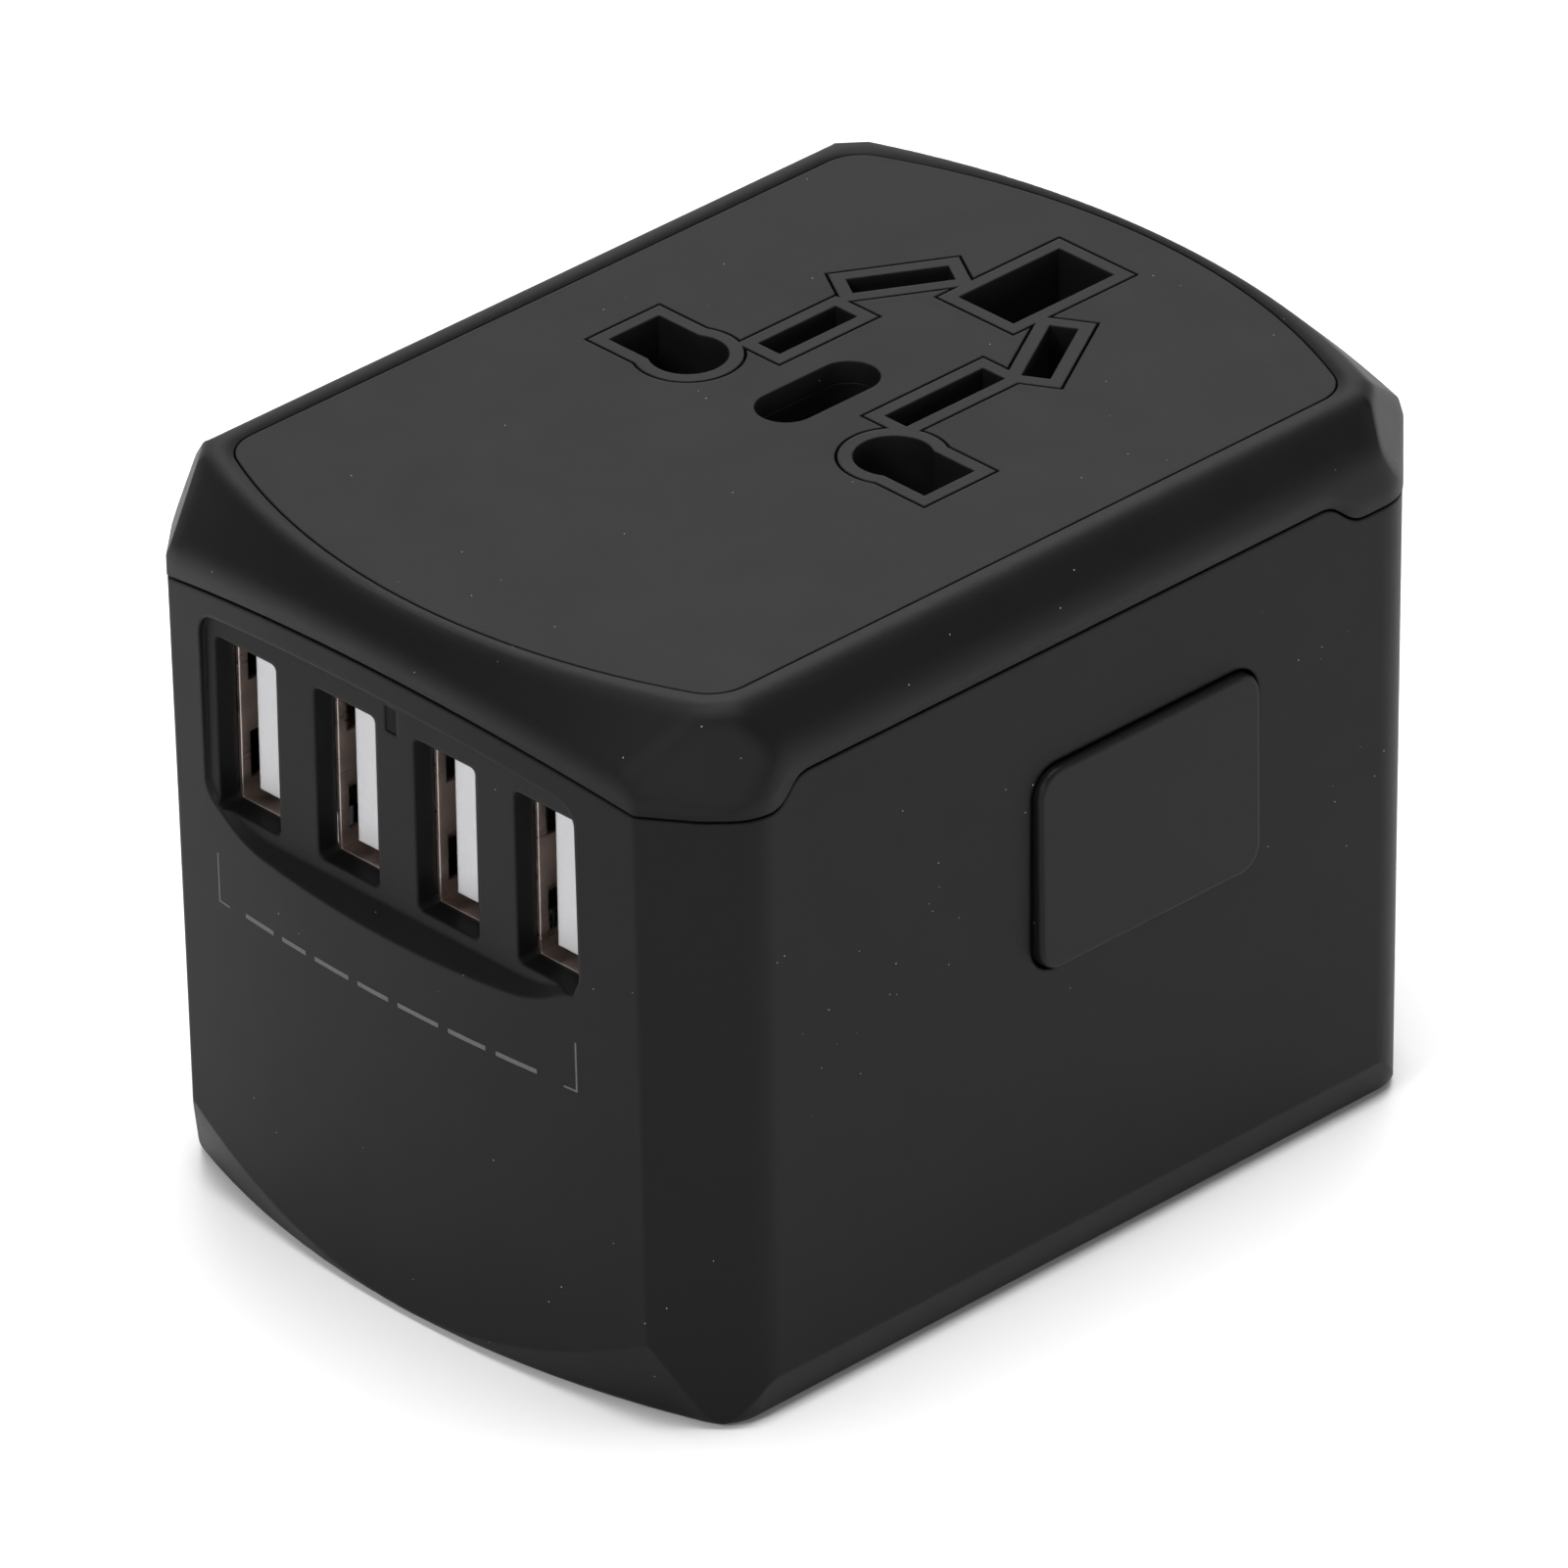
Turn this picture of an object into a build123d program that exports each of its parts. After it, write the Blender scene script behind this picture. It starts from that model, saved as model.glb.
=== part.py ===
"""Universal travel adapter with four charging ports, one STEP file per piece.

Frame in millimetres: origin at the middle of the underside, +Z up, -Y the port face, +X the button side.
"""
import os
from math import sqrt

from build123d import *

os.makedirs("parts", exist_ok=True)

# Overall housing
HEIGHT = 52.0
HALF_X = 27.0
APEX_Y = 36.07
REAR_APEX_Y = 36.07
FACE_X = 21.7
FACE_Y = 34.41
FACET_Y = 29.0
WALL_IN = 2.6
DRAFT_IN = 0.6
SIDE_ROUND, END_ROUND = 4.0, 0.6
SEAM_GAP = 0.24
SEAM_LOW = 45.1
SEAM_HIGH = 47.06
SEAM_END = 47.93
SEAM_END_R = 100.0
END_ZONE = 30.5
FAR = 60.0
RIM_ROUND, SIDE_EDGE_ROUND, END_EDGE_ROUND = 0.9, 1.5, 0.6
BASE_T = 2.4
STEP_Z = 9.0

# Top rim: half width, end apex and end radius, then the sloped facet at each rim corner
RIM_X, RIM_APEX, RIM_R = 24.4, 34.1, 62.0
RIM_CORNER = (24.4, -29.1, 52.0)
FACET_NORMAL = (19.9, -16.9, 9.5)
FACET_CUT = 0.4

# Panel and underside outlines: half width, end apex, end radius, corner radius
PANEL = (22.8, 33.2, 50.0, 3.0)
FOOT = (25.5, 35.35, 68.0, 3.0)
FOOT_FLARE, FOOT_EDGE = 0.306, 0.8
FLARE_TOP = 50.0
PANEL_GAP = 0.16

# Socket
SOCKET_X = -1.05
LINE_Y = 1.33
EARTH_Y = 23.53
PANEL_Z = 50.4
FLANGE_Z = 47.4
INSERT_RIM, INSERT_GAP = 0.95, 0.2
FLANGE_X, FLANGE_Y0, FLANGE_Y1 = 16.8, -12.2, 30.0
TRAY_Z = 45.0
SHUTTER_X, SHUTTER_Z0, SHUTTER_Z1 = 15.5, 45.7, 47.3

# Port face
PORT_X0 = -14.33
PORT_PITCH = 9.3
PORT_Z = 36.72
PORT_W, PORT_H = 5.75, 12.65
LEDGE_Z = 29.55
RECESS_X, RECESS_MID = 17.55, -0.75
SHELL_Y0, SHELL_Y1 = -32.7, -20.2

# Button on the +X side
BUTTON_Y, BUTTON_Z = 5.65, 30.8
BUTTON_W, BUTTON_H, BUTTON_R = 20.5, 15.4, 2.2
BUTTON_OUT = 27.4
BUTTON_GAP = 0.3

# Pin carriages and their knobs on the -X side
CARRIAGE_Z0, CARRIAGE_Z1 = 25.0, 28.0
TRAVEL = 19.0
PIN_TIP = 0.6
EU_Y, US_Y, UK_Y = -18.0, 1.0, -10.0
KNOB_Y = {"eu": -18.0, "us": -1.0, "uk": 14.0}
KNOB_OUT = -27.4
TRACK_X = -25.9
EU_X, US_X, UK_X = 9.5, 6.35, 11.1
UK_EARTH = UK_Y + 22.2
BOARD_Z0, BOARD_Z1 = 30.4, 32.0


def block(x0, x1, y0, y1, z0, z1):
    centre = ((x0 + x1) / 2, (y0 + y1) / 2, (z0 + z1) / 2)
    return Pos(*centre) * Box(x1 - x0, y1 - y0, z1 - z0)


def rod(x, y, z0, z1, r):
    return Pos(x, y, (z0 + z1) / 2) * Cylinder(r, z1 - z0)


def rod_x(x0, x1, y, z, r):
    return Pos((x0 + x1) / 2, y, z) * Rot(0, 90, 0) * Cylinder(r, x1 - x0)


def rod_y(x, y0, y1, z, r):
    return Pos(x, (y0 + y1) / 2, z) * Rot(90, 0, 0) * Cylinder(r, y1 - y0)


def prism(outline, z0, z1):
    return extrude(Pos(0, 0, z0) * outline, amount=z1 - z0)


def outline(points, arcs=()):
    """Closed outline through the points; arcs maps an edge index to its bulge point."""
    arcs = dict(arcs)
    edges = []
    for i, a in enumerate(points):
        b = points[(i + 1) % len(points)]
        edges.append(ThreePointArc(a, arcs[i], b) if i in arcs else Line(a, b))
    return make_face(edges)


def bowed(half_x, apex, radius, corner, grow=0.0):
    """Rectangle with bowed ends and rounded corners, built as eight edges."""
    hx, ay, r, c = half_x + grow, apex + grow, radius + grow, corner + grow
    cy = ay - r
    kx = hx - c
    ky = cy + sqrt((r - c) ** 2 - kx ** 2)
    ux, uy = kx / (r - c), (ky - cy) / (r - c)
    tx, ty = kx + c * ux, ky + c * uy
    mx, my = ux + 1, uy
    n = sqrt(mx * mx + my * my)
    bx, by = kx + c * mx / n, ky + c * my / n
    points = [(-tx, -ty), (tx, -ty), (hx, -ky), (hx, ky), (tx, ty), (-tx, ty), (-hx, ky), (-hx, -ky)]
    arcs = {0: (0, -ay), 1: (bx, -by), 3: (bx, by), 4: (0, ay), 5: (-bx, by), 7: (-bx, -by)}
    return outline(points, arcs)


def housing(inset=0.0):
    """Housing plan: flat sides, corner facets and bowed ends, moved inwards by inset."""
    k = 0.414 * inset
    fx, fy, hx, cy = FACE_X - k, FACE_Y - inset, HALF_X - inset, FACET_Y - k
    points = [(-fx, -fy), (fx, -fy), (hx, -cy), (hx, cy), (fx, fy), (-fx, fy), (-hx, cy), (-hx, -cy)]
    plan = outline(points, {0: (0, -APEX_Y + inset), 4: (0, REAR_APEX_Y - inset)})
    corners = plan.vertices()
    plan = fillet(corners.filter_by(lambda v: abs(v.X) > hx - 0.1), SIDE_ROUND)
    return fillet(plan.vertices().filter_by(lambda v: abs(abs(v.Y) - fy) < 0.01), END_ROUND)


def between(lower, z0, upper, z1):
    return loft([Pos(0, 0, z0) * lower, Pos(0, 0, z1) * upper], ruled=True)


def rounded(x0, x1, y0, y1, r):
    return Pos((x0 + x1) / 2, (y0 + y1) / 2) * RectangleRounded(x1 - x0, y1 - y0, r)


def along_x(sketch, x0, x1):
    """Extrude a sketch drawn as (y, z) from x0 to x1."""
    return extrude(Plane.YZ.offset(x0) * sketch, amount=x1 - x0)


def along_y(sketch, y0, y1):
    """Extrude a sketch drawn as (x, z) from y0 to y1."""
    return extrude(Plane.XZ.offset(-y1) * sketch, amount=y1 - y0)


def coil(r, wire, length, turns):
    """Helical spring along +Z from the origin."""
    path = Helix(pitch=(length - 2 * wire) / turns, height=length - 2 * wire, radius=r)
    start = path @ 0
    return Pos(0, 0, wire) * sweep(Plane(origin=start, z_dir=path % 0) * Circle(wire), path=path)


def save(name, *shapes):
    solids = [s for shape in shapes for s in shape.solids()]
    piece = solids[0] if len(solids) == 1 else Compound(children=solids)
    piece.label = name
    export_step(piece, f"parts/{name}.step")


def above_seam(dz):
    """Everything above the seam line shifted by dz: dipped at the corners, arched over both ends."""
    low, high, end = SEAM_LOW + dz, SEAM_HIGH + dz, SEAM_END + dz
    front_out, front_in, rear_in, rear_out = (-27.6, low), (-24.2, high), (21.4, high), (25.6, low)
    side = make_face([
        Line((-END_ZONE, low), front_out),
        Spline(front_out, (-25.9, (low + high) / 2), front_in, tangents=[(1, 0), (1, 0)]),
        Line(front_in, rear_in),
        Spline(rear_in, (23.5, (low + high) / 2), rear_out, tangents=[(1, 0), (1, 0)]),
        Polyline(rear_out, (END_ZONE, low), (END_ZONE, FAR), (-END_ZONE, FAR), (-END_ZONE, low)),
    ])
    drop = SEAM_END_R - sqrt(SEAM_END_R ** 2 - FACE_X ** 2)
    left, right = (-FACE_X, end - drop), (FACE_X, end - drop)
    above = [(24.6, low), (30, low), (30, FAR), (-30, FAR), (-30, low), (-24.6, low)]
    arch = make_face([ThreePointArc(left, (0, end), right), Polyline(right, *above, left)])
    middle = along_x(side, -30, 30)
    return middle + along_y(arch, -40, -END_ZONE) + along_y(arch, END_ZONE, 40)


# Socket hole outlines, drawn about the socket centre line
def line_hole(side, grow=0.0):
    x_in, x_out = 9.5, 14.63 + grow
    half = 2.25 + grow
    rect = Pos(side * (x_in + x_out) / 2, LINE_Y) * Rectangle(x_out - x_in, 2 * half)
    return rect + Pos(side * x_in, LINE_Y) * Circle(2.65 + grow)


def earth_hole(grow=0.0):
    return Pos(0, EARTH_Y) * Rectangle(5.1 + 2 * grow, 9.2 + 2 * grow)


def us_hole(side, grow=0.0):
    length = 7.0 if side < 0 else 8.86
    return Pos(side * 6.35, 9.0) * Rectangle(2.04 + 2 * grow, length + 2 * grow)


def au_hole(side, grow=0.0):
    return Pos(side * 6.92, 17.95) * Rot(0, 0, side * 30) * Rectangle(1.95 + 2 * grow, 6.9 + 2 * grow)


def socket_holes(grow=0.0):
    shape = earth_hole(grow)
    for side in (-1, 1):
        shape += line_hole(side, grow) + us_hole(side, grow) + au_hole(side, grow)
    return Pos(SOCKET_X, 0) * shape


def oval_hole(grow=0.0):
    return Pos(SOCKET_X, 3.75) * Rot(0, 0, 90) * SlotOverall(9.74 + 2 * grow, 4.2 + 2 * grow)


# Housing solids shared by the cap and the body
CAP_ROOF = 48.4
PORT_BAY_X = 20.5
FOOT_WALL, BASE_FIT = 1.6, 0.1
cavity = prism(housing(WALL_IN), STEP_Z, CAP_ROOF)
cavity -= block(-PORT_BAY_X, PORT_BAY_X, -FAR, SHELL_Y0, 29.0, CAP_ROOF + 1)
cavity += block(-PORT_BAY_X, PORT_BAY_X, SHELL_Y0, -30, 29.9, 44.5)
foot_cavity = prism(bowed(*FOOT, grow=-FOOT_WALL), BASE_T, STEP_Z)

# Top cap: the housing plan, 45 degree chamfers up to the rim and a sloped facet at each corner
def rim_outline(grow):
    """Rim rectangle with bowed ends, grown sideways and endways."""
    hx, apex, radius = RIM_X + grow, RIM_APEX + grow, RIM_R + grow
    corner_y = apex - radius + sqrt(radius ** 2 - hx ** 2)
    points = [(-hx, -corner_y), (hx, -corner_y), (hx, corner_y), (-hx, corner_y)]
    return outline(points, {0: (0, -apex), 2: (0, apex)})


def lies_flat(edge, z):
    return abs((edge @ 0).Z - z) < 0.01 and abs((edge @ 1).Z - z) < 0.01


def outside_panel(point):
    return abs(point.X) > PANEL[0] + 0.3 or abs(point.Y) > PANEL[1] + 0.3


def meets(point, target):
    """True where the point matches the target in any of the four mirrored quarters."""
    return (Vector(abs(point.X), abs(point.Y), point.Z) - Vector(*target)).length < 0.1


CAP_FOOT = 43.0
facet_normal = Vector(*FACET_NORMAL).normalized()
facet_origin = Vector(*RIM_CORNER) - facet_normal * FACET_CUT
facet_box = Box(60, 60, 20, align=(Align.CENTER, Align.CENTER, Align.MIN))
facets = Plane(origin=facet_origin, z_dir=facet_normal) * facet_box
facets += mirror(facets, Plane.YZ)
facets += mirror(facets, Plane.XZ)
chamfers = between(rim_outline(HEIGHT - CAP_FOOT), CAP_FOOT, rim_outline(0), HEIGHT)
cap = ((prism(housing(), CAP_FOOT, HEIGHT) & chamfers) - facets) & above_seam(SEAM_GAP / 2)
cap -= cavity
SKIRT_FOOT, SKIRT_FIT, SKIRT_T = 43.6, 0.05, 1.2
skirt = prism(housing(WALL_IN + SKIRT_FIT), SKIRT_FOOT, CAP_ROOF)
skirt -= prism(housing(WALL_IN + SKIRT_FIT + SKIRT_T), CAP_FOOT, CAP_ROOF + 1)
skirt &= block(-30, 30, -27.5, 29, CAP_FOOT, CAP_ROOF + 1)
skirt -= block(-30, 30, -3, 15, CAP_FOOT, 46)
cap += skirt
cap -= prism(bowed(*PANEL, grow=PANEL_GAP), PANEL_Z, FAR)
flange = block(SOCKET_X - FLANGE_X, SOCKET_X + FLANGE_X, FLANGE_Y0, FLANGE_Y1, FLANGE_Z, PANEL_Z)
seat_x, seat_y0, seat_y1 = FLANGE_X + 0.1, FLANGE_Y0 - 0.1, FLANGE_Y1 + 0.1
cap -= block(SOCKET_X - seat_x, SOCKET_X + seat_x, seat_y0, seat_y1, TRAY_Z - 5, PANEL_Z)
rim_edges = cap.edges().filter_by(lambda e: lies_flat(e, HEIGHT) and outside_panel(e @ 0.5))
cap = fillet(rim_edges, RIM_ROUND)
side_edge = (HALF_X, 0, HEIGHT - HALF_X + RIM_X)
end_edge = (0, APEX_Y, HEIGHT - APEX_Y + RIM_APEX)
for target, radius in ((side_edge, SIDE_EDGE_ROUND), (end_edge, END_EDGE_ROUND)):
    cap = fillet(cap.edges().filter_by(lambda e: meets(e @ 0.5, target)), radius)
save("top_cap", cap)

# Socket panel and the inner socket that shows flush through it
panel = prism(bowed(*PANEL), PANEL_Z, HEIGHT)
panel -= prism(socket_holes(INSERT_RIM + INSERT_GAP), PANEL_Z - 1, HEIGHT + 1)
panel -= prism(oval_hole(), PANEL_Z - 1, HEIGHT + 1)
save("socket_panel", panel)

insert = flange + prism(socket_holes(INSERT_RIM), PANEL_Z, HEIGHT)
insert -= block(SOCKET_X - 14.6, SOCKET_X + 14.6, -11.0, -4.0, 47.0, 49.2)
insert -= block(SOCKET_X - 14.6, SOCKET_X + 14.6, -4.1, -3.0, 47.0, 47.6)
TRAY_X, TRAY_WALL, TRAY_REAR, LIP_T = 16.6, 1.0, 6.0, 0.6
for side in (-1, 1):
    wall_x = sorted((SOCKET_X + side * (TRAY_X - TRAY_WALL), SOCKET_X + side * TRAY_X))
    lip_x = sorted((SOCKET_X + side * (SHUTTER_X - LIP_T), SOCKET_X + side * TRAY_X))
    insert += block(*wall_x, FLANGE_Y0, TRAY_REAR, TRAY_Z, FLANGE_Z)
    insert += block(*lip_x, FLANGE_Y0, TRAY_REAR, TRAY_Z, TRAY_Z + LIP_T)
front_wall = FLANGE_Y0 + TRAY_WALL
insert += block(SOCKET_X - TRAY_X, SOCKET_X + TRAY_X, FLANGE_Y0, front_wall, TRAY_Z, FLANGE_Z)
insert -= prism(socket_holes(), FLANGE_Z - 1, HEIGHT + 1)
insert -= prism(oval_hole(), FLANGE_Z - 1, PANEL_Z + 1)
save("socket_insert", insert)

# Safety shutter under the socket holes and its return spring
SHUTTER_Y0, SHUTTER_Y1 = -2.0, 4.6
shutter = block(SOCKET_X - SHUTTER_X, SOCKET_X + SHUTTER_X, SHUTTER_Y0, SHUTTER_Y1, SHUTTER_Z0, SHUTTER_Z1)
shutter -= block(SOCKET_X - 6.5, SOCKET_X + 6.5, 3.0, SHUTTER_Y1 + 1, SHUTTER_Z0 - 1, SHUTTER_Z1 + 1)
save("safety_shutter", shutter)
shutter_spring = coil(0.6, 0.15, SHUTTER_Y0 - front_wall, 7)
shutter_mid = (SHUTTER_Z0 + SHUTTER_Z1) / 2
save("shutter_spring", Pos(SOCKET_X, SHUTTER_Y0, shutter_mid) * Rot(90, 0, 0) * shutter_spring)

# Body shell
body = between(housing(DRAFT_IN), 0, housing(), FLARE_TOP)
body &= between(bowed(*FOOT), 0, bowed(*FOOT, grow=FLARE_TOP * FOOT_FLARE), FLARE_TOP)
body = fillet(body.faces().sort_by(Axis.Z)[0].edges(), FOOT_EDGE)
body -= above_seam(-SEAM_GAP / 2)
body -= cavity + foot_cavity
body -= prism(bowed(*FOOT, grow=-FOOT_WALL), -1, BASE_T)


def recess(drop):
    """Charging recess drawn as (x, z), its lower edge moved down by drop."""
    ledge, shoulder = LEDGE_Z - drop, 31.4 - drop
    lower = [(-RECESS_X, shoulder), (-13.5, ledge), (13.5, ledge), (RECESS_X, shoulder)]
    edge_z = SEAM_END - 1.95 - RECESS_X ** 2 / 200
    face = make_face([
        Polyline((-RECESS_X, edge_z), *lower, (RECESS_X, edge_z)),
        ThreePointArc((RECESS_X, edge_z), (0, SEAM_END - 1.95), (-RECESS_X, edge_z)),
    ])
    face = fillet(face.vertices().filter_by(lambda v: abs(v.Y - edge_z) < 0.01), 1.8)
    face = fillet(face.vertices().filter_by(lambda v: abs(v.Y - ledge) < 0.01), 9.0)
    return fillet(face.vertices().filter_by(lambda v: abs(v.Y - shoulder) < 0.01), 1.6)


recess_ends = [Plane.XZ.offset(FACE_Y) * recess(0), Plane.XZ.offset(FACE_Y + 4) * recess(4.0)]
recess_cut = Pos(RECESS_MID, 0, 0) * loft(recess_ends, ruled=True)
body -= recess_cut
port_centres = [PORT_X0 + i * PORT_PITCH for i in range(4)]
for x in port_centres:
    window = rounded(x - PORT_W / 2, x + PORT_W / 2, PORT_Z - PORT_H / 2, PORT_Z + PORT_H / 2, 0.5)
    body -= along_y(window, -40, SHELL_Y0 + 1)
LED_X, LED_Z, LED_FRONT = -0.7, 43.45, -34.36
body -= block(LED_X - 0.52, LED_X + 0.52, -40, -30, LED_Z - 0.92, LED_Z + 0.92)

button_hole = Pos(BUTTON_Y, BUTTON_Z) * RectangleRounded(BUTTON_W, BUTTON_H, BUTTON_R)
body -= along_x(button_hole, 20, 30)
TRACK_Z0, TRACK_Z1 = 3.6, 30.6
for y in KNOB_Y.values():
    track = Pos(y, (TRACK_Z0 + TRACK_Z1) / 2) * RectangleRounded(6.6, TRACK_Z1 - TRACK_Z0, 2.0)
    body -= along_x(track, -30, TRACK_X)
    body -= block(-30, -20, y - 1.6, y + 1.6, CARRIAGE_Z0 - TRAVEL - 0.3, CARRIAGE_Z1 + 0.3)

BOSS_X, BOSS_REAR_Y, BOSS_FRONT_Y = 21.2, 27.0, -26.6
bosses = []
for side in (-1, 1):
    bosses += [(side * BOSS_X, BOSS_REAR_Y, BOARD_Z0), (side * BOSS_X, BOSS_FRONT_Y, 28.0)]
for x, y, top in bosses:
    body += rod(x, y, BASE_T, top, 3.0) & block(-24.6, 24.6, -33, 34, 0, 40)
    body -= rod(x, y, BASE_T - 1, 14.0, 1.27)
for side in (-1, 1):
    body += block(*sorted((side * 17.0, side * 24.6)), -12.6, -9.6, 28.4, BOARD_Z0)
save("body_shell", body)

# Base plate with a hole for every pin
base = prism(bowed(*FOOT, grow=-FOOT_WALL - BASE_FIT), 0, BASE_T)
GUIDE_TOP = 5.0
pin_holes = []
for side in (-1, 1):
    pin_holes.append((side * EU_X, EU_Y, Circle(2.08), Circle(3.4)))
    pin_holes.append((side * UK_X, UK_Y, Rectangle(6.51, 4.16), Rectangle(8.6, 6.2)))
    pin_holes.append((side * US_X, US_Y, Circle(3.75), None))
pin_holes.append((0, UK_EARTH, Rectangle(4.16, 8.16), Rectangle(6.4, 10.2)))
for x, y, hole, collar in pin_holes:
    if collar is not None:
        base += prism(Pos(x, y) * collar, BASE_T, GUIDE_TOP)
for x, y, hole, collar in pin_holes:
    base -= prism(Pos(x, y) * hole, -1, GUIDE_TOP + 1)
for x, y, top in bosses:
    base -= rod(x, y, -1, BASE_T + 1, 1.45)
    base -= rod(x, y, -1, 1.2, 2.6)
save("base_plate", base)

screws = []
for x, y, top in bosses:
    screw = rod(x, y, 0.15, 1.2, 2.3) + rod(x, y, 1.2, 12.0, 1.25)
    screw -= block(x - 1.3, x + 1.3, y - 0.25, y + 0.25, 0, 0.7)
    screw -= block(x - 0.25, x + 0.25, y - 1.3, y + 1.3, 0, 0.7)
    screws.append(screw)
save("case_screws", *screws)

# Unlock button, the lock plate behind it and the return spring
face_w, face_h = BUTTON_W - 2 * BUTTON_GAP, BUTTON_H - 2 * BUTTON_GAP
button_face = Pos(BUTTON_Y, BUTTON_Z) * RectangleRounded(face_w, face_h, 1.9)
button = along_x(button_face, 24.2, BUTTON_OUT)
button = fillet(button.faces().sort_by(Axis.X)[-1].edges(), 0.35)
button_flange = Pos(BUTTON_Y, BUTTON_Z) * RectangleRounded(BUTTON_W + 2.6, BUTTON_H + 2.6, 2.0)
button += along_x(button_flange, 23.2, 24.3)
save("unlock_button", button)
lock_plate = block(22.0, 23.2, BUTTON_Y - 8, BUTTON_Y + 8, 24.0, 39.0)
lock_plate -= block(21, 24, BUTTON_Y - 5, BUTTON_Y + 5, 24.0 - 1, 27.5)
save("lock_plate", lock_plate)
SPRING_Z = 36.2
save("button_spring", Pos(16.8, BUTTON_Y, SPRING_Z) * Rot(0, 90, 0) * coil(2.4, 0.3, 5.2, 4))

# Pin carriages: each slides down and pushes its pins out through the base
def carriage(name, bar):
    y = KNOB_Y[name]
    arm = block(-26.0, -11.0, y - 1.5, y + 1.5, CARRIAGE_Z0, CARRIAGE_Z1)
    return bar + arm


def layer(x0, x1, y0, y1):
    return block(x0, x1, y0, y1, CARRIAGE_Z0, CARRIAGE_Z1)


eu = carriage("eu", layer(-13.5, 13.5, EU_Y - 3, EU_Y + 3))
us = carriage("us", layer(-11.0, 11.0, US_Y - 4, US_Y + 4))
uk = layer(-15.2, 17.0, UK_Y - 3, UK_Y + 3) + layer(13.6, 17.0, UK_Y - 3, UK_EARTH + 4.4)
uk = carriage("uk", uk + layer(-14.0, 17.0, UK_EARTH - 4.4, UK_EARTH + 4.4))
for side in (-1, 1):
    eu -= rod(side * EU_X, EU_Y, 20, 30, 2.02)
    us -= rod(side * US_X, US_Y, 20, 30, 1.55)
    uk -= Pos(side * UK_X, UK_Y, 26) * Box(6.39, 4.04, 10)
uk -= Pos(0, UK_EARTH, 26) * Box(4.04, 8.04, 10)
save("carriage_eu", eu)
save("carriage_us", us)
save("carriage_uk", uk)

for name, y in KNOB_Y.items():
    knob_face = Pos(y, 26.5) * RectangleRounded(6.0, 7.0, 1.5)
    knob = along_x(knob_face, KNOB_OUT, -26.0)
    knob = fillet(knob.faces().sort_by(Axis.X)[0].edges(), 0.3)
    for dz in (-1.8, -0.6, 0.6, 1.8):
        knob -= block(-27.5, -27.1, y - 2.0, y + 2.0, 26.5 + dz - 0.2, 26.5 + dz + 0.2)
    save(f"knob_{name}", knob)

# Pins
sleeves = []
for side, label in ((-1, "left"), (1, "right")):
    pin = rod(side * EU_X, EU_Y, PIN_TIP, CARRIAGE_Z1, 2.0)
    pin = fillet(pin.faces().sort_by(Axis.Z)[0].edges(), 1.2)
    sleeve = rod(side * EU_X, EU_Y, 13.0, CARRIAGE_Z0, 2.0) - rod(side * EU_X, EU_Y, 12, 26, 1.65)
    pin -= rod(side * EU_X, EU_Y, 13.0, CARRIAGE_Z0, 2.3) - rod(side * EU_X, EU_Y, 12, 26, 1.6)
    sleeves.append(sleeve)
    save(f"eu_pin_{label}", pin)

    blade = Pos(side * US_X, US_Y, (PIN_TIP + 22.6) / 2) * Box(1.5, 6.3, 22.6 - PIN_TIP)
    blade = chamfer(blade.faces().sort_by(Axis.Z)[0].edges(), 0.4)
    blade += rod(side * US_X, US_Y, 22.6, 24.9, 3.6) + rod(side * US_X, US_Y, 24.9, CARRIAGE_Z1, 1.5)
    blade -= rod_x(side * US_X - 2, side * US_X + 2, US_Y, 4.2, 1.4)
    save(f"us_pin_{label}", blade)
save("eu_sleeves", *sleeves)

uk_pins = [("live", -UK_X, UK_Y, 6.35, 4.0), ("neutral", UK_X, UK_Y, 6.35, 4.0)]
uk_pins.append(("earth", 0, UK_EARTH, 4.0, 8.0))
for label, x, y, sx, sy in uk_pins:
    pin = Pos(x, y, (PIN_TIP + CARRIAGE_Z1) / 2) * Box(sx, sy, CARRIAGE_Z1 - PIN_TIP)
    pin = chamfer(pin.faces().sort_by(Axis.Z)[0].edges(), 0.8)
    save(f"uk_pin_{label}", pin)

# Boards and what stands on them
power_board = block(-22.4, 18.0, -17.4, 31.6, BOARD_Z0, BOARD_Z1)
power_board &= prism(housing(WALL_IN + 0.3), 20, 40)
save("power_board", power_board)



def contact_wall(side, a, b, y0, y1, z1):
    """Sheet of a line contact, a and b measured outwards from the socket centre line."""
    x0, x1 = sorted((SOCKET_X + side * a, SOCKET_X + side * b))
    return block(x0, x1, y0, y1, BOARD_Z1, z1)


SHEET_Z, CONTACT_TOP = BOARD_Z1 + 0.8, 44.2
for side, label in ((-1, "live"), (1, "neutral")):
    contact = contact_wall(side, 4.4, 15.4, -2.2, 4.9, SHEET_Z)
    contact += contact_wall(side, 4.4, 8.4, -2.2, 14.2, SHEET_Z)
    contact += contact_wall(side, 7.6, 15.4, -2.2, -1.6, CONTACT_TOP)
    contact += contact_wall(side, 9.4, 15.4, 4.3, 4.9, CONTACT_TOP)
    contact += contact_wall(side, 4.4, 5.0, 5.2, 14.2, CONTACT_TOP)
    contact += contact_wall(side, 7.8, 8.4, 5.6, 14.2, CONTACT_TOP)
    save(f"contact_{label}", contact)
earth = block(SOCKET_X - 3.6, SOCKET_X + 3.6, 18.8, 28.2, BOARD_Z1, BOARD_Z1 + 0.8)
for side in (-1, 1):
    earth += block(*sorted((SOCKET_X + side * 2.9, SOCKET_X + side * 3.6)), 18.8, 28.2, BOARD_Z1, 46.0)
save("contact_earth", earth)

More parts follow.
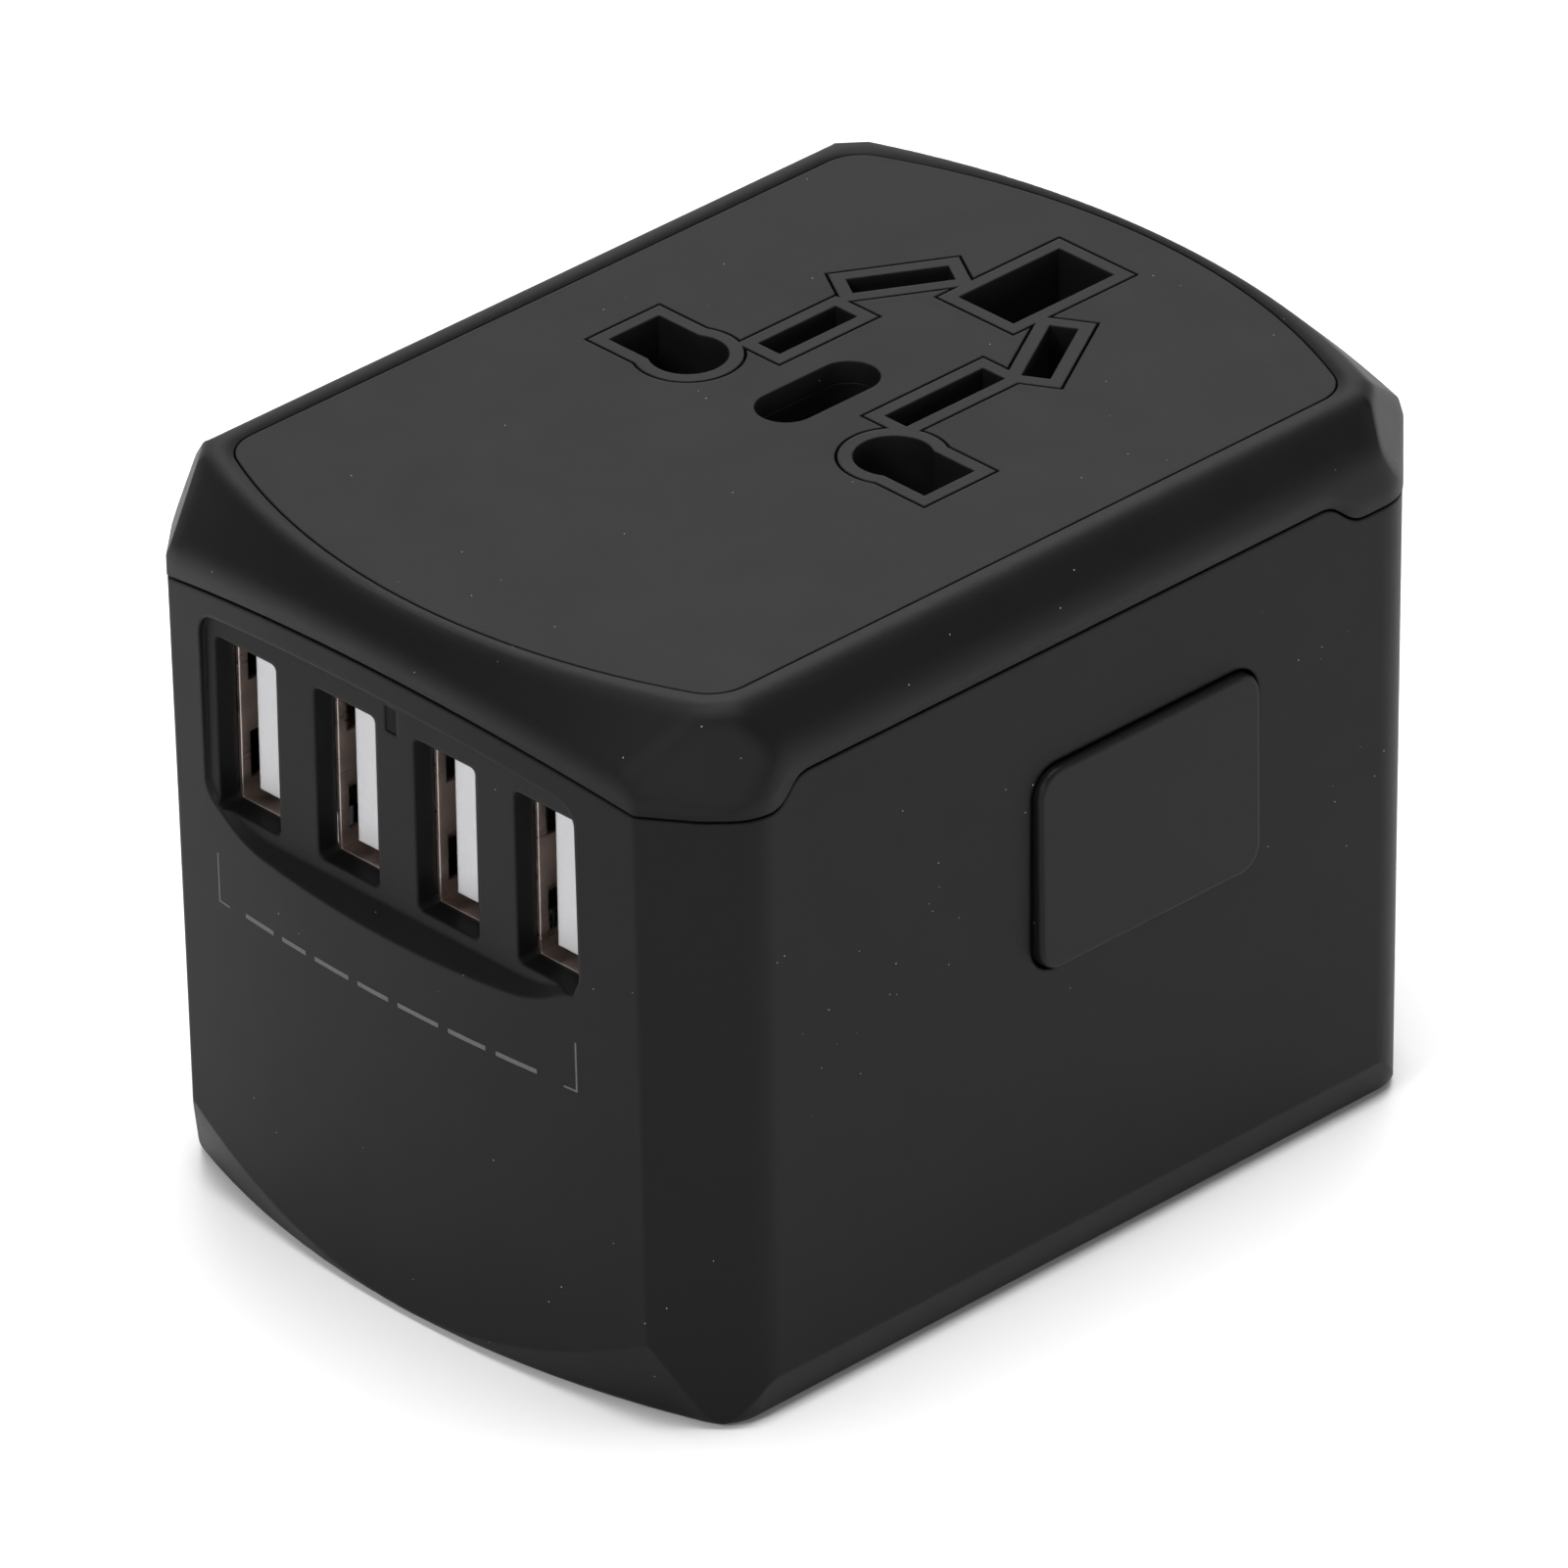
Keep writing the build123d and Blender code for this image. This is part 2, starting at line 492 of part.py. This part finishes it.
carrier = block(SOCKET_X - 1.0, SOCKET_X + 1.0, -6.0, 17.8, BOARD_Z1, 44.0)
carrier += block(SOCKET_X - 1.0, 17.6, 15.0, 17.8, BOARD_Z1, BOARD_Z1 + 3.0)
carrier += block(16.0, 16.8, -1.0, 17.8, BOARD_Z1, 40.0)
save("contact_carrier", carrier)

core = block(-8.5, 8.5, 18.8, 31.0, 13.0, BOARD_Z0)
core -= block(-9, 9, 21.0, 28.8, 16.0, 27.4)
core += block(-2.2, 2.2, 21.0, 28.8, 15.0, 28.0)
winding = block(-6.6, 6.6, 19.6, 30.2, 16.0, 27.4) - block(-2.2, 2.2, 21.0, 28.8, 15.0, 28.0)
save("transformer", core + winding)
cans = [rod(side * 13.4, 24.5, 12.0, BOARD_Z0, 4.0) for side in (-1, 1)]
save("capacitors", *[fillet(can.faces().sort_by(Axis.Z)[0].edges(), 0.5) for can in cans])

FUSE_X, FUSE_Z = -19.7, 36.0
fuse = rod_y(FUSE_X, 2.0, 22.0, FUSE_Z, 2.3)
for y0 in (2.0, 17.0):
    fuse += rod_y(FUSE_X, y0, y0 + 5.0, FUSE_Z, 2.6)
save("fuse", fuse)
clips = []
for y in (4.4, 19.6):
    clip = block(FUSE_X - 2.0, FUSE_X + 2.0, y - 1.2, y + 1.2, BOARD_Z1, FUSE_Z - 0.6)
    clips.append(clip - rod_y(FUSE_X, y - 2, y + 2, FUSE_Z, 2.62))
save("fuse_clips", *clips)

# Charging ports
usb_board = block(-20.6, 20.6, SHELL_Y1, SHELL_Y1 + 1.6, 28.9, 46.0)
save("usb_board", usb_board)
light_pipe = block(LED_X - 0.5, LED_X + 0.5, LED_FRONT, SHELL_Y1, LED_Z - 0.9, LED_Z + 0.9)
save("led_light_pipe", light_pipe)
contact_strips = []
for i, x in enumerate(port_centres):
    shell = block(x - 2.86, x + 2.86, SHELL_Y0, SHELL_Y1, PORT_Z - 6.55, PORT_Z + 6.55)
    shell -= block(x - 2.56, x + 2.56, SHELL_Y0 - 1, SHELL_Y1 + 1, PORT_Z - 6.25, PORT_Z + 6.25)
    for side in (-1, 1):
        for z in (PORT_Z - 3.4, PORT_Z + 3.8):
            slot = block(*sorted((x + side * 2.4, x + side * 3)), -31.95, -26.0, z - 1.7, z + 1.7)
            tab = block(*sorted((x + side * 2.56, x + side * 2.86)), -29.6, -26.0, z - 1.1, z + 1.1)
            shell = shell - slot + tab
    save(f"usb_shell_{i + 1}", shell)
    tongue = block(x - 1.56, x + 0.28, -32.1, SHELL_Y1, PORT_Z - 5.5, PORT_Z + 5.5)
    tongue += block(x - 2.5, x + 2.5, -22.4, SHELL_Y1, PORT_Z - 6.2, PORT_Z + 6.2)
    save(f"usb_tongue_{i + 1}", tongue)
    for dz in (-3.5, -1.0, 1.0, 3.5):
        contact_strips.append(block(x + 0.28, x + 0.4, -31.4, -22.4, PORT_Z + dz - 0.5, PORT_Z + dz + 0.5))
save("usb_contacts", *contact_strips)
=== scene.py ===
"""Studio scene for the universal travel adapter. Everything is in metres, in the frame of the CAD model."""
from math import radians

import bmesh
import bpy
from mathutils import Matrix, Vector


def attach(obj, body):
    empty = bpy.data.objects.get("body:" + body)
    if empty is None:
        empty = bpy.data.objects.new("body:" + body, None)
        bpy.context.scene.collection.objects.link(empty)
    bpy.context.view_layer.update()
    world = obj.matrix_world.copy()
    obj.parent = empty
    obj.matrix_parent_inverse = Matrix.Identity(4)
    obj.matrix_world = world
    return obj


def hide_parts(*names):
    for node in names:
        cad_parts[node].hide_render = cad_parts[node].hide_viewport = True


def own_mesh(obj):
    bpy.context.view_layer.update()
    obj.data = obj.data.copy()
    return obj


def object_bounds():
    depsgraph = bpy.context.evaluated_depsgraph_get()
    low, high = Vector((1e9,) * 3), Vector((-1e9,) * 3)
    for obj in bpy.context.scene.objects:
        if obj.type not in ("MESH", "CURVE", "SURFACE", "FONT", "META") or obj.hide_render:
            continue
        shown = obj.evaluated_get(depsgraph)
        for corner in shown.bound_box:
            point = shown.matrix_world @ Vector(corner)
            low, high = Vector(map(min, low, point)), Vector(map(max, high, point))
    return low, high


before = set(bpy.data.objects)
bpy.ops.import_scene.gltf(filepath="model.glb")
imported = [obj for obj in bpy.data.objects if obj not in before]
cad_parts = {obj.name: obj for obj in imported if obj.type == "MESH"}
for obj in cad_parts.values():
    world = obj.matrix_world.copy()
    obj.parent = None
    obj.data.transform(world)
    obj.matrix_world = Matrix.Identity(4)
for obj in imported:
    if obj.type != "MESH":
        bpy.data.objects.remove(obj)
cad_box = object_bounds()
scene = bpy.context.scene
MM = 0.001

# Surface texture: noise and dust cells per metre
SLOW_TONE, GLOSS_PATCHES, DUST_CELLS = 60, 240, 900
GLOSS_SPREAD = 0.015

# Dust: radius as a share of a cell, and tone
SPECK_RADIUS = 0.04
SPECK_GREY = (0.32, 0.32, 0.325)

# Black plastics: base tone of the cap and shell, their gloss and weak reflection
SATIN_TONE = (0.003, 0.003, 0.0031)
SATIN_ROUGHNESS, SATIN_SPECULAR = 0.46, 0.12
SHELL_EDGE_MM, CAP_EDGE_MM = 0.35, 2.0
SATIN_DUST = 0.2


# Node helpers
class Shader:
    """A Principled material with object coordinates, built one node at a time."""

    def __init__(self, name, colour, roughness, metallic=0.0, specular=0.5):
        self.material = bpy.data.materials.new(name)
        self.material.use_nodes = True
        self.tree = self.material.node_tree
        self.bsdf = self.tree.nodes["Principled BSDF"]
        self.bsdf.inputs["Base Color"].default_value = (*colour, 1)
        self.bsdf.inputs["Roughness"].default_value = roughness
        self.bsdf.inputs["Metallic"].default_value = metallic
        self.bsdf.inputs["Specular IOR Level"].default_value = specular
        self.coords = self.node("ShaderNodeTexCoord").outputs["Object"]
        self.normal = None

    def node(self, kind, **settings):
        made = self.tree.nodes.new(kind)
        for key, value in settings.items():
            setattr(made, key, value)
        return made

    def link(self, source, target):
        self.tree.links.new(source, target)

    def noise(self, scale, detail=2.0, stretch=(1, 1, 1)):
        mapping = self.node("ShaderNodeMapping")
        mapping.inputs["Scale"].default_value = stretch
        self.link(self.coords, mapping.inputs["Vector"])
        texture = self.node("ShaderNodeTexNoise")
        texture.inputs["Scale"].default_value = scale
        texture.inputs["Detail"].default_value = detail
        self.link(mapping.outputs[0], texture.inputs["Vector"])
        return texture.outputs["Fac"]

    def remap(self, value, low, high, start=0.3, end=0.7):
        ranged = self.node("ShaderNodeMapRange")
        for key, number in (("From Min", start), ("From Max", end), ("To Min", low), ("To Max", high)):
            ranged.inputs[key].default_value = number
        self.link(value, ranged.inputs["Value"])
        return ranged.outputs[0]

    def math(self, operation, first, second):
        """Math node; second is a number or a socket."""
        made = self.node("ShaderNodeMath", operation=operation)
        self.link(first, made.inputs[0])
        if isinstance(second, float):
            made.inputs[1].default_value = second
        else:
            self.link(second, made.inputs[1])
        return made.outputs[0]

    def mix(self, factor, first, second):
        """Colour mix; first and second are colours or sockets."""
        mixed = self.node("ShaderNodeMix", data_type="RGBA")
        self.link(factor, mixed.inputs["Factor"])
        for key, value in (("A", first), ("B", second)):
            socket = [s for s in mixed.inputs if s.name == key and s.type == "RGBA"][0]
            if isinstance(value, tuple):
                socket.default_value = (*value, 1)
            else:
                self.link(value, socket)
        return [s for s in mixed.outputs if s.type == "RGBA"][0]

    def colour(self, socket):
        self.link(socket, self.bsdf.inputs["Base Color"])

    def roughness(self, factor, low, high):
        self.link(self.remap(factor, low, high), self.bsdf.inputs["Roughness"])

    def bump(self, height, strength, depth):
        made = self.node("ShaderNodeBump")
        made.inputs["Strength"].default_value = strength
        made.inputs["Distance"].default_value = depth
        self.link(height, made.inputs["Height"])
        if self.normal is not None:
            self.link(self.normal, made.inputs["Normal"])
        self.normal = made.outputs["Normal"]
        self.link(self.normal, self.bsdf.inputs["Normal"])

    def soften(self, radius):
        """Rounds the shading of moulded edges."""
        bevel = self.node("ShaderNodeBevel", samples=6)
        bevel.inputs["Radius"].default_value = radius
        self.normal = bevel.outputs["Normal"]
        self.link(self.normal, self.bsdf.inputs["Normal"])


def scaled(colour, factor):
    return tuple(min(1.0, c * factor) for c in colour)


def dusted(shader, tone, share):
    """Small pale specks in a share of the cells of a cell texture, over the given tone."""
    cells = shader.node("ShaderNodeTexVoronoi", feature="F1")
    cells.inputs["Scale"].default_value = DUST_CELLS
    shader.link(shader.coords, cells.inputs["Vector"])
    cell_value = shader.node("ShaderNodeSeparateColor")
    shader.link(cells.outputs["Color"], cell_value.inputs[0])
    near = shader.math("LESS_THAN", cells.outputs["Distance"], SPECK_RADIUS)
    few = shader.math("LESS_THAN", cell_value.outputs[0], share)
    return shader.mix(shader.math("MULTIPLY", near, few), tone, SPECK_GREY)


def moulded(
    name, colour, roughness, grain=5200, depth=0.006, edge=0.18, dust=0.0, specular=0.5, mottle=0.35
):
    """Injection-moulded plastic: fine grain, slow tone drift, gloss patches and stray dust.

    Grain depth and shaded edge radius are in millimetres; mottle is the contrast of the grain.
    """
    shader = Shader(name, colour, roughness, specular=specular)
    shader.soften(edge * MM)
    fine = shader.noise(grain, 3.0)
    slow = shader.noise(SLOW_TONE, 2.0)
    darker, lighter = scaled(colour, 1 - mottle / 4), scaled(colour, 1 + mottle / 4)
    tone = shader.mix(shader.remap(slow, 0, 1), darker, lighter)
    tone = shader.mix(shader.remap(fine, 0, 1, 0.35, 0.75), tone, scaled(colour, 1 + mottle))
    if dust:
        tone = dusted(shader, tone, dust)
    shader.colour(tone)
    shader.roughness(shader.noise(GLOSS_PATCHES, 3.0), roughness - GLOSS_SPREAD, roughness + GLOSS_SPREAD)
    shader.bump(fine, 0.5, depth * MM)
    return shader.material


def metal(name, colour, roughness, lengthwise=(1, 1, 1), depth=0.003, tarnish=0.15):
    """Formed or turned metal with drawn marks along one axis and slight tarnish."""
    shader = Shader(name, colour, roughness, metallic=1.0)
    shader.soften(0.12 * MM)
    marks = shader.noise(2600, 3.0, lengthwise)
    cloud = shader.noise(420, 4.0)
    dull, bright = scaled(colour, 1 - tarnish), scaled(colour, 1 + tarnish / 2)
    shader.colour(shader.mix(shader.remap(cloud, 0, 1), dull, bright))
    shader.roughness(marks, roughness - 0.06, roughness + 0.08)
    shader.bump(marks, 0.4, depth * MM)
    return shader.material


def circuit_board(name):
    """Solder-mask green with slightly raised copper runs under it."""
    shader = Shader(name, (0.02, 0.16, 0.06), 0.35)
    bricks = shader.node("ShaderNodeTexBrick")
    bricks.inputs["Scale"].default_value = 420
    bricks.inputs["Mortar Size"].default_value = 0.09
    shader.link(shader.coords, bricks.inputs["Vector"])
    runs = bricks.outputs["Fac"]
    shader.colour(shader.mix(runs, (0.015, 0.13, 0.045), (0.05, 0.26, 0.09)))
    shader.roughness(shader.noise(900, 2.0), 0.3, 0.42)
    shader.bump(runs, 0.5, 0.02 * MM)
    return shader.material


def striped(name, colour, second, roughness, rings, direction="Z"):
    """Wound tape or a printed sleeve: bands along one axis."""
    shader = Shader(name, colour, roughness)
    bands = shader.node("ShaderNodeTexWave", bands_direction=direction)
    bands.inputs["Scale"].default_value = rings
    bands.inputs["Distortion"].default_value = 0.6
    shader.link(shader.coords, bands.inputs["Vector"])
    shader.colour(shader.mix(shader.remap(bands.outputs["Fac"], 0, 1, 0.4, 0.6), colour, second))
    shader.roughness(shader.noise(700, 2.0), roughness - 0.05, roughness + 0.05)
    shader.bump(bands.outputs["Fac"], 0.3, 0.03 * MM)
    return shader.material


def clear(name, colour, roughness, transmission, specular=0.5):
    """Smoked or clear moulding with faint flow lines."""
    shader = Shader(name, colour, roughness, specular=specular)
    shader.bsdf.inputs["Transmission Weight"].default_value = transmission
    flow = shader.noise(800, 2.0, (1, 4, 1))
    shader.colour(shader.mix(shader.remap(flow, 0, 1), scaled(colour, 0.85), scaled(colour, 1.15)))
    shader.roughness(flow, roughness - 0.02, roughness + 0.04)
    shader.bump(flow, 0.2, 0.004 * MM)
    return shader.material


def satin(name, edge):
    return moulded(name, SATIN_TONE, SATIN_ROUGHNESS, edge=edge, dust=SATIN_DUST, specular=SATIN_SPECULAR)


materials = {
    "housing_black": satin("satin_housing", SHELL_EDGE_MM),
    "panel_black": moulded(
        "grained_panel", (0.005, 0.005, 0.0051), 0.56, grain=4600, depth=0.009, dust=0.15, specular=0.15),
    "insert_black": moulded("socket_insert", (0.0045, 0.0045, 0.0046), 0.52, grain=5000, specular=0.15),
    "base_black": moulded("base_plastic", (0.007, 0.007, 0.0071), 0.55, specular=0.2),
    "button_black": moulded(
        "button_plastic", (0.004, 0.004, 0.0041), 0.43, depth=0.004, dust=0.12, specular=0.13),
    "knob_grey": moulded("knob_plastic", (0.2, 0.2, 0.205), 0.5, grain=4200, mottle=0.12),
    "carriage_black": moulded("carriage_nylon", (0.02, 0.02, 0.021), 0.6, grain=3600),
    "lock_white": moulded("lock_nylon", (0.72, 0.71, 0.68), 0.5, grain=3600, mottle=0.06),
    "shutter_grey": moulded("shutter_acetal", (0.05, 0.05, 0.052), 0.45, grain=3600),
    "carrier_black": moulded("carrier_resin", (0.02, 0.02, 0.02), 0.6, grain=3600),
    "sleeve_black": moulded("pin_sleeve", (0.015, 0.015, 0.016), 0.45, grain=3600),
    "tongue_white": moulded(
        "tongue_resin", (0.53, 0.53, 0.543), 0.42, grain=3000, depth=0.002, edge=0.25, mottle=0.04),
    "pin_nickel": metal("pin_nickel", (0.72, 0.7, 0.66), 0.26, (1, 1, 0.08), depth=0.0008, tarnish=0.06),
    "contact_brass": metal("contact_brass", (0.78, 0.56, 0.26), 0.3, (1, 1, 0.15), tarnish=0.25),
    "spring_steel": metal("spring_steel", (0.6, 0.6, 0.6), 0.28),
    "screw_steel": metal("screw_steel", (0.42, 0.42, 0.42), 0.36, depth=0.0015, tarnish=0.12),
    "port_steel": metal("port_steel", (0.6, 0.51, 0.46), 0.32, (1, 0.1, 1), tarnish=0.2),
    "strip_gold": metal("strip_gold", (0.83, 0.62, 0.25), 0.22, (1, 0.1, 1)),
    "board_green": circuit_board("board_green"),
    "transformer_tape": striped("transformer_tape", (0.62, 0.46, 0.06), (0.5, 0.36, 0.04), 0.4, 60),
    "capacitor_sleeve": striped("capacitor_sleeve", (0.02, 0.025, 0.05), (0.03, 0.037, 0.07), 0.35, 25),
    "fuse_glass": clear("fuse_glass", (0.75, 0.75, 0.72), 0.12, 0.6),
    "pipe_clear": clear("smoked_pipe", (0.003, 0.003, 0.0031), 0.4, 0.0, specular=0.05),
}
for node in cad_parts.values():
    for material_slot in node.material_slots:
        material_slot.material = materials[material_slot.material.name.split(".")[0]]
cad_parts["top_cap"].material_slots[0].material = satin("satin_cap", CAP_EDGE_MM)


# Printed marks on the port face: plain corner brackets and a row of blank dashes
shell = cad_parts["body_shell"]


def on_front(x, z, lift):
    """Point on the bowed front wall at x and z, lifted off it."""
    place, normal = shell.ray_cast(Vector((x, 2 * cad_box[0][1], z)), Vector((0, 1, 0)))[1:3]
    return place + normal * lift


def printed_bar(mesh, x0, x1, z0, z1, columns):
    """Thin closed slab of ink that follows the wall."""
    layers = []
    for lift in INK_LIFTS:
        rows = []
        for z in (z0, z1):
            steps = [x0 + (x1 - x0) * i / columns for i in range(columns + 1)]
            rows.append([mesh.verts.new(on_front(x, z, lift)) for x in steps])
        layers.append(rows)
    (low_in, high_in), (low_out, high_out) = layers
    for i in range(columns):
        mesh.faces.new((low_out[i], low_out[i + 1], high_out[i + 1], high_out[i]))
        mesh.faces.new((low_in[i], high_in[i], high_in[i + 1], low_in[i + 1]))
        mesh.faces.new((low_in[i], low_in[i + 1], low_out[i + 1], low_out[i]))
        mesh.faces.new((high_in[i], high_out[i], high_out[i + 1], high_in[i + 1]))
    mesh.faces.new((low_in[0], low_out[0], high_out[0], high_in[0]))
    mesh.faces.new((low_in[-1], high_in[-1], high_out[-1], low_out[-1]))


def add_object(name, mesh, material, body):
    mesh.normal_update()
    data = bpy.data.meshes.new(name)
    mesh.to_mesh(data)
    mesh.free()
    made = bpy.data.objects.new(name, data)
    scene.collection.objects.link(made)
    data.materials.append(material)
    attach(made, body)
    return made


MARK_LEFT, MARK_RIGHT = -17.3 * MM, 16.4 * MM
MARK_TOP, MARK_FOOT = 27.0 * MM, 23.3 * MM
MARK_LINE, MARK_FOOT_LENGTH = 0.14 * MM, 1.15 * MM
DASH_Z, DASH_HEIGHT, DASH_GAP, DASH_CENTRE = 23.4 * MM, 0.34 * MM, 0.9 * MM, -0.7 * MM
DASH_LENGTHS = [length * MM for length in (2.9, 2.4, 3.3, 2.9, 3.7, 3.3, 3.5)]
INK_GREY = (0.05, 0.05, 0.05)
INK_LIFTS = (-0.01 * MM, 0.015 * MM)


def printed_marks():
    """Two corner brackets and the dashes as one printed piece."""
    ink = moulded("pad_print_grey", INK_GREY, 0.6, grain=7000, depth=0.002, edge=0.02)
    mesh = bmesh.new()
    for side, outer in ((-1, MARK_LEFT), (1, MARK_RIGHT)):
        leg = sorted((outer, outer - side * MARK_LINE))
        foot = sorted((outer, outer - side * MARK_FOOT_LENGTH))
        printed_bar(mesh, *leg, MARK_FOOT + MARK_LINE, MARK_TOP, 2)
        printed_bar(mesh, *foot, MARK_FOOT, MARK_FOOT + MARK_LINE, 6)
    row = sum(DASH_LENGTHS) + DASH_GAP * (len(DASH_LENGTHS) - 1)
    x = DASH_CENTRE - row / 2
    for length in DASH_LENGTHS:
        printed_bar(mesh, x, x + length, DASH_Z, DASH_Z + DASH_HEIGHT, 10)
        x += length + DASH_GAP
    return add_object("printed_marks", mesh, ink, "housing")


printed_marks()


# Smooth-shaded copies of the springs
def soft_spring(node):
    """Smooth-shaded copy of a CAD spring in spring steel, attached to the housing; the CAD part is hidden.
    """
    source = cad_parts[node]
    mesh = bmesh.new()
    mesh.from_mesh(source.data)
    spring = add_object(node + "_coil", mesh, materials["spring_steel"], "housing")
    for polygon in spring.data.polygons:
        polygon.use_smooth = True
    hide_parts(node)
    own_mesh(spring)
    return spring


soft_spring("button_spring")
soft_spring("shutter_spring")


# Camera at the photograph's viewing angle: degrees round from the port face, up from level, and tilt
CAMERA_AZIMUTH, CAMERA_ELEVATION, CAMERA_ROLL = 46.508, 30.352, -0.928
CAMERA_DISTANCE = 1.27
CAMERA_AIM = Vector((0.66, -1.41, 25.59)) * MM
SENSOR_WIDTH, LENS = 36.0, 449.72
CLIP_NEAR, CLIP_FAR = 0.01, 20.0


def rotation(degrees, axis):
    return Matrix.Rotation(radians(degrees), 4, axis)


def add_camera():
    """Camera that circles the aim point by azimuth, elevation and roll."""
    data = bpy.data.cameras.new("camera")
    data.sensor_width = SENSOR_WIDTH
    data.lens = LENS
    data.clip_start = CLIP_NEAR
    data.clip_end = CLIP_FAR
    camera = bpy.data.objects.new("camera", data)
    orbit = rotation(CAMERA_AZIMUTH, "Z") @ rotation(90 - CAMERA_ELEVATION, "X")
    back_off = Matrix.Translation((0, 0, CAMERA_DISTANCE))
    camera.matrix_world = Matrix.Translation(CAMERA_AIM) @ orbit @ rotation(CAMERA_ROLL, "Z") @ back_off
    scene.collection.objects.link(camera)
    scene.camera = camera


# Studio: pale floor in metres
FLOOR_HALF_SIZE, FLOOR_DROP = 1.2, 0.2 * MM
FLOOR_DARK, FLOOR_LIGHT = (0.85, 0.85, 0.85), (0.87, 0.87, 0.87)

# The world fades between these heights of the view direction, 0 level and 1 straight up
HORIZON_TOP, CEILING_START = 0.08, 0.4
HORIZON_STRENGTH, CEILING_STRENGTH = 0.95, 0.15

# Light name: place, width and height in metres, power in watts; all of them face the object
LIGHTS = {
    "overhead": ((0.0, 0.05, 1.3), (0.9, 0.9), 22),
    "behind": ((-0.75, 0.72, 0.6), (0.9, 0.6), 3.6),
    "rear_right": ((0.8, 0.9, 0.3), (0.4, 0.4), 1.5),
    "front": ((0.92, -0.75, 0.25), (0.5, 0.4), 3),
    "front_high": ((0.13, -0.89, 0.65), (0.25, 0.25), 4.6),
}


def add_floor():
    mesh = bmesh.new()
    bmesh.ops.create_grid(mesh, x_segments=8, y_segments=8, size=FLOOR_HALF_SIZE)
    data = bpy.data.meshes.new("floor")
    mesh.to_mesh(data)
    mesh.free()
    floor = bpy.data.objects.new("floor", data)
    floor.location.z = cad_box[0][2] - FLOOR_DROP
    scene.collection.objects.link(floor)
    shader = Shader("pale_floor", FLOOR_LIGHT, 0.75)
    shader.colour(shader.mix(shader.remap(shader.noise(6, 2.0), 0, 1), FLOOR_DARK, FLOOR_LIGHT))
    data.materials.append(shader.material)


def add_light(name, place, target, size, power):
    data = bpy.data.lights.new(name, "AREA")
    data.shape = "RECTANGLE"
    data.size, data.size_y = size
    data.energy = power
    light = bpy.data.objects.new(name, data)
    light.location = place
    light.rotation_euler = (Vector(target) - Vector(place)).to_track_quat("-Z", "Y").to_euler()
    scene.collection.objects.link(light)


def add_world():
    """Bright horizon that fades to a dim ceiling."""
    world = bpy.data.worlds.new("studio")
    world.use_nodes = True
    nodes, links = world.node_tree.nodes, world.node_tree.links
    direction = nodes.new("ShaderNodeTexCoord").outputs["Generated"]
    parts = nodes.new("ShaderNodeSeparateXYZ")
    links.new(direction, parts.inputs[0])
    fade = nodes.new("ShaderNodeMapRange")
    fade.inputs["From Min"].default_value = HORIZON_TOP
    fade.inputs["From Max"].default_value = CEILING_START
    fade.inputs["To Min"].default_value = HORIZON_STRENGTH
    fade.inputs["To Max"].default_value = CEILING_STRENGTH
    links.new(parts.outputs["Z"], fade.inputs["Value"])
    background = nodes["Background"]
    background.inputs["Color"].default_value = (1, 1, 1, 1)
    links.new(fade.outputs[0], background.inputs["Strength"])
    scene.world = world


add_camera()
add_floor()
add_world()
centre = (0, 0, cad_box[1][2] / 2)
for name, (place, size, power) in LIGHTS.items():
    add_light(name, place, centre, size, power)
scene.view_settings.view_transform = "Standard"
